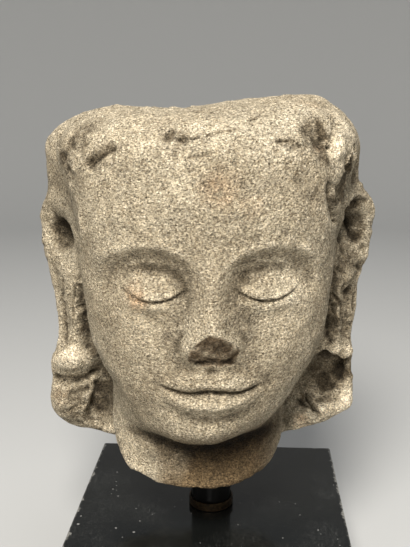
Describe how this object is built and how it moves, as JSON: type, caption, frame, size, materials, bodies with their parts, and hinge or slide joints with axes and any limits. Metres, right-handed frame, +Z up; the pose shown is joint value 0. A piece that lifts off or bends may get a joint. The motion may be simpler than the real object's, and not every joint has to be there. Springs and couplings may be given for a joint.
{
  "type": "goddess head sculpture on a display stand",
  "caption": "Carved sandstone head with long ears and heavy ear ornaments, broken across crown and neck, on a rod and a square black block.",
  "frame": {"origin": "centre of the display block's underside", "axes": "+Z up, along the rod; -Y is the side that the face looks to; X and Y run along the block's sides"},
  "size_m": [0.1196, 0.1179, 0.1819],
  "materials": {
    "sandstone": "coarse-grained weathered sandstone, grey beige with dark and pale grains, brown stains at the neck and a few reddish patches, fully matte",
    "black_steel": "blackened steel bar, satin",
    "dark_brass": "thin brass ring gone dark brown, dull with a faint warm edge",
    "black_lacquer": "black gloss lacquer on wood, with dust specks, fine scuffs and paler worn edges"
  },
  "bodies": {
    "root": {"stone_head": "sandstone", "steel_rod": "black_steel", "foot_ferrule": "dark_brass", "base_block": "black_lacquer"}
  },
  "joints": []
}
